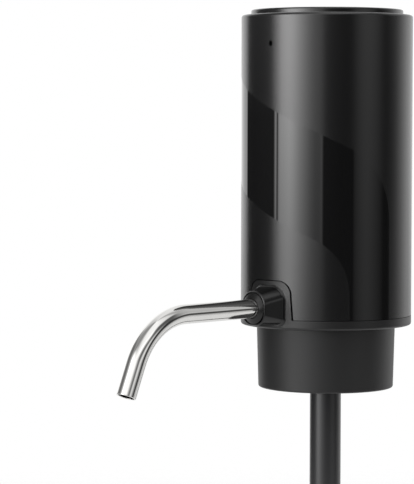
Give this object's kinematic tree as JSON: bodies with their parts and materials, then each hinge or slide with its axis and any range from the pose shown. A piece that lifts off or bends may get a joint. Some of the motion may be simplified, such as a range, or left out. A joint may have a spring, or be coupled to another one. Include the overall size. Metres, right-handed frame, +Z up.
{
  "type": "electric wine aerator",
  "caption": "Battery wine aerator and pourer: upright round housing with a button top, bent steel spout, bottle stopper and telescopic dip tube.",
  "frame": {"origin": "centre of the seat on the bottle's lip, on the axis of the housing", "axes": "+Z up along the housing's axis, -Y towards the spout, X across"},
  "size_m": [0.046, 0.0999, 0.2055],
  "materials": {
    "housing_satin": "satin black moulded plastic with a fine even grain",
    "housing_gloss": "gloss black moulded plastic",
    "collar_soft": "matte soft-touch black",
    "silicone": "black silicone rubber",
    "spout_steel": "polished stainless steel tube",
    "dip_tube": "smooth black moulded tube",
    "tube_fittings": "black moulded fittings",
    "clear_lens": "clear light guide and lamp",
    "zinc": "plated steel",
    "circuit_board": "green circuit board",
    "white_nylon": "natural nylon moulding",
    "clear_hose": "milky flexible plastic",
    "grey_plastic": "grey moulded plastic",
    "copper": "wound and laminated rotor",
    "ferrite": "dark ferrite",
    "cell_wrap": "cell with a plain film sleeve",
    "wire_red": "insulated wire"
  },
  "bodies": {
    "root": {"outer_shell": "housing_satin", "base_housing": "housing_satin", "neck_collar": "collar_soft", "bottle_seal": "silicone", "spout_bushing": "silicone", "spout_o_ring": "silicone", "tube_upper": "dip_tube", "upper_gland": "tube_fittings", "light_pipe": "clear_lens", "charge_socket": "zinc", "charge_board": "circuit_board", "check_valve": "white_nylon", "air_hose": "clear_hose", "chassis": "grey_plastic", "top_deck": "grey_plastic", "pump_cover": "white_nylon", "valve_plate": "white_nylon", "pump_diaphragm": "silicone", "wobble_plate": "white_nylon", "pump_body": "white_nylon", "motor_can": "zinc", "motor_endcap": "grey_plastic", "magnet_front": "ferrite", "magnet_rear": "ferrite", "motor_sleeve": "silicone", "battery_cell": "cell_wrap", "battery_lower_tab": "zinc", "battery_upper_tab": "zinc", "control_board": "circuit_board", "tact_switch": "tube_fittings", "status_led": "clear_lens", "button_spring": "zinc", "battery_feed_lead": "wire_red", "battery_board_lead": "wire_red", "ribbon_cable": "clear_hose", "motor_lead_1": "wire_red", "motor_lead_2": "wire_red", "base_screw_1": "zinc", "base_screw_2": "zinc", "base_screw_3": "zinc", "base_screw_4": "zinc", "collar_screw_1": "zinc", "collar_screw_2": "zinc", "collar_screw_3": "zinc", "deck_screw_1": "zinc", "deck_screw_2": "zinc", "deck_screw_3": "zinc", "board_screw_1": "zinc", "board_screw_2": "zinc", "board_screw_3": "zinc"},
    "button": {"press_button": "housing_gloss", "switch_plunger": "tube_fittings"},
    "spout": {"spout_tube": "spout_steel"},
    "dip_middle": {"tube_middle": "dip_tube", "lower_gland": "tube_fittings"},
    "dip_lower": {"tube_lower": "dip_tube", "intake_foot": "tube_fittings"},
    "rotor": {"motor_rotor": "copper"}
  },
  "joints": [
    {"name": "button_press", "type": "slide", "parent": "root", "child": "button", "axis": [0, 0, -1], "range_m": [0, 0.0008], "stiffness_N_per_m": 900, "springref_m": -0.0008, "deforming": ["button_spring"]},
    {"name": "spout_pull", "type": "slide", "parent": "root", "child": "spout", "axis": [0, -1, 0], "range_m": [0, 0.018]},
    {"name": "dip_middle_slide", "type": "slide", "parent": "root", "child": "dip_middle", "axis": [0, 0, -1], "range_m": [0, 0.08]},
    {"name": "dip_lower_slide", "type": "slide", "parent": "dip_middle", "child": "dip_lower", "axis": [0, 0, -1], "range_m": [0, 0.08]},
    {"name": "motor_spin", "type": "hinge", "parent": "root", "child": "rotor", "pos_m": [-0.00738, 0, 0.05], "axis": [0, 0, 1], "continuous": true}
  ]
}
